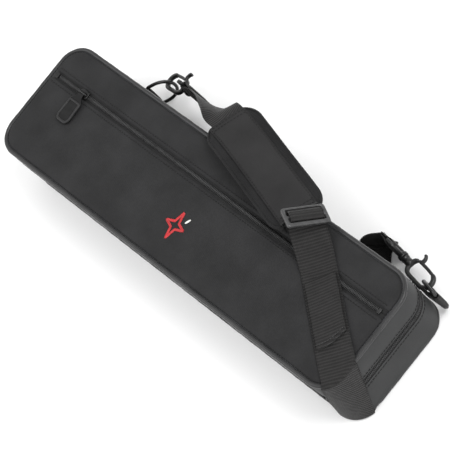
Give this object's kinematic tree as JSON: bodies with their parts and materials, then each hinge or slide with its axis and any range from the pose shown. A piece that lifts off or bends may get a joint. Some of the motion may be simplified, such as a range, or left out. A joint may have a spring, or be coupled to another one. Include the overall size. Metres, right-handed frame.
{
  "type": "telescope carry case",
  "caption": "Slim rectangular padded carry case: zipped lid on a cloth hinge, front zip pocket, piped edges and a padded shoulder strap on swivel snap hooks.",
  "frame": {"origin": "centre of the flat back face, on the surface the case lies on", "axes": "+X along the case toward the end the strap wraps, +Y to the long side with the D-rings and hooks, +Z out of the pocket face"},
  "size_m": [0.4219, 0.1524, 0.101],
  "materials": {
    "shell_fabric": "black ripstop-like nylon cloth, slight sheen",
    "piping_cord": "smooth covered cord",
    "foam": "closed-cell foam",
    "stiffener": "thin board",
    "lining_fabric": "brushed lining",
    "zip_tape": "woven tape",
    "zip_coil": "nylon coil",
    "zip_metal": "black enamel",
    "pull_moulding": "moulded pull",
    "badge_thread": "embroidered thread",
    "ring_metal": "black coated wire",
    "webbing": "ribbed webbing",
    "hook_plastic": "moulded acetal",
    "adjuster_plastic": "moulded acetal",
    "pad_fabric": "padded cloth with stitching"
  },
  "bodies": {
    "base": {"back_panel": "shell_fabric", "back_piping": "piping_cord", "back_foam": "foam", "back_board": "stiffener", "base_gusset": "shell_fabric", "base_wall_foam": "foam", "base_lining": "lining_fabric", "base_zip_tape": "zip_tape", "base_zip_coil": "zip_coil", "hinge_tape": "shell_fabric", "d_ring_left": "ring_metal", "d_ring_right": "ring_metal", "d_ring_tab_left": "webbing", "d_ring_tab_right": "webbing", "eye_left": "hook_plastic", "eye_right": "hook_plastic", "strap_end_left": "webbing", "strap_end_right": "webbing", "strap_webbing_long": "webbing", "strap_webbing_short": "webbing", "shoulder_pad": "pad_fabric", "pad_sleeve": "pad_fabric", "strap_adjuster": "adjuster_plastic"},
    "lid": {"front_piping": "piping_cord", "lid_gusset": "shell_fabric", "lid_wall_foam": "foam", "front_foam": "foam", "front_board": "stiffener", "lid_lining": "lining_fabric", "pocket_backing": "lining_fabric", "front_panel_upper": "shell_fabric", "pocket_panel": "shell_fabric", "pocket_tape_upper": "zip_tape", "pocket_tape_lower": "zip_tape", "pocket_coil_upper": "zip_coil", "pocket_coil_lower": "zip_coil", "pocket_stop_left": "zip_metal", "pocket_stop_right": "zip_metal", "lid_zip_tape": "zip_tape", "lid_zip_coil": "zip_coil", "badge": "badge_thread"},
    "pocket_slider": {"pocket_slider": "zip_metal"},
    "pocket_pull": {"pocket_pull": "pull_moulding"},
    "main_slider_left": {"main_slider_left": "zip_metal"},
    "main_pull_left": {"main_pull_left": "pull_moulding"},
    "main_slider_right": {"main_slider_right": "zip_metal"},
    "main_pull_right": {"main_pull_right": "pull_moulding"},
    "hook_left": {"hook_left": "hook_plastic"},
    "gate_left": {"gate_left": "hook_plastic"},
    "hook_right": {"hook_right": "hook_plastic"},
    "gate_right": {"gate_right": "hook_plastic"}
  },
  "joints": [
    {"name": "lid_hinge", "type": "hinge", "parent": "base", "child": "lid", "pos_m": [0, -0.055, 0.036], "axis": [1, 0, 0], "range_deg": [0, 175], "deforming": ["hinge_tape", "strap_webbing_long", "strap_webbing_short", "shoulder_pad", "pad_sleeve", "strap_adjuster"]},
    {"name": "pocket_zip_slide", "type": "slide", "parent": "lid", "child": "pocket_slider", "axis": [1, 0, 0], "range_m": [-0.027, 0.215]},
    {"name": "pocket_pull_flip", "type": "hinge", "parent": "pocket_slider", "child": "pocket_pull", "pos_m": [-0.163, 0.021, 0.069], "axis": [-1, 0, 0], "range_deg": [0, 170]},
    {"name": "main_zip_slide_left", "type": "slide", "parent": "base", "child": "main_slider_left", "axis": [1, 0, 0], "range_m": [-0.055, 0.008]},
    {"name": "main_pull_flip_left", "type": "hinge", "parent": "main_slider_left", "child": "main_pull_left", "pos_m": [-0.014, 0.0585, 0.036], "axis": [1, 0, 0], "range_deg": [0, 165]},
    {"name": "main_zip_slide_right", "type": "slide", "parent": "base", "child": "main_slider_right", "axis": [1, 0, 0], "range_m": [-0.008, 0.07]},
    {"name": "main_pull_flip_right", "type": "hinge", "parent": "main_slider_right", "child": "main_pull_right", "pos_m": [0.014, 0.0585, 0.036], "axis": [1, 0, 0], "range_deg": [0, 165]},
    {"name": "hook_swivel_left", "type": "hinge", "parent": "base", "child": "hook_left", "pos_m": [-0.10433, 0.07638, 0.03405], "axis": [-0.9397, 0, -0.342], "range_deg": [-18, 2]},
    {"name": "gate_press_left", "type": "hinge", "parent": "hook_left", "child": "gate_left", "pos_m": [-0.11702, 0.08298, 0.02943], "axis": [-0.342, 0, 0.9397], "range_deg": [0, 20], "stiffness_Nm_per_rad": 0.02, "springref_deg": -17.19},
    {"name": "hook_swivel_right", "type": "hinge", "parent": "base", "child": "hook_right", "pos_m": [0.15648, 0.06845, 0.019], "axis": [0.9859, -0.1676, 0], "range_deg": [-10, 10]},
    {"name": "gate_press_right", "type": "hinge", "parent": "hook_right", "child": "gate_right", "pos_m": [0.17089, 0.0727, 0.019], "axis": [0, 0, -1], "range_deg": [0, 20], "stiffness_Nm_per_rad": 0.02, "springref_deg": -17.19}
  ]
}
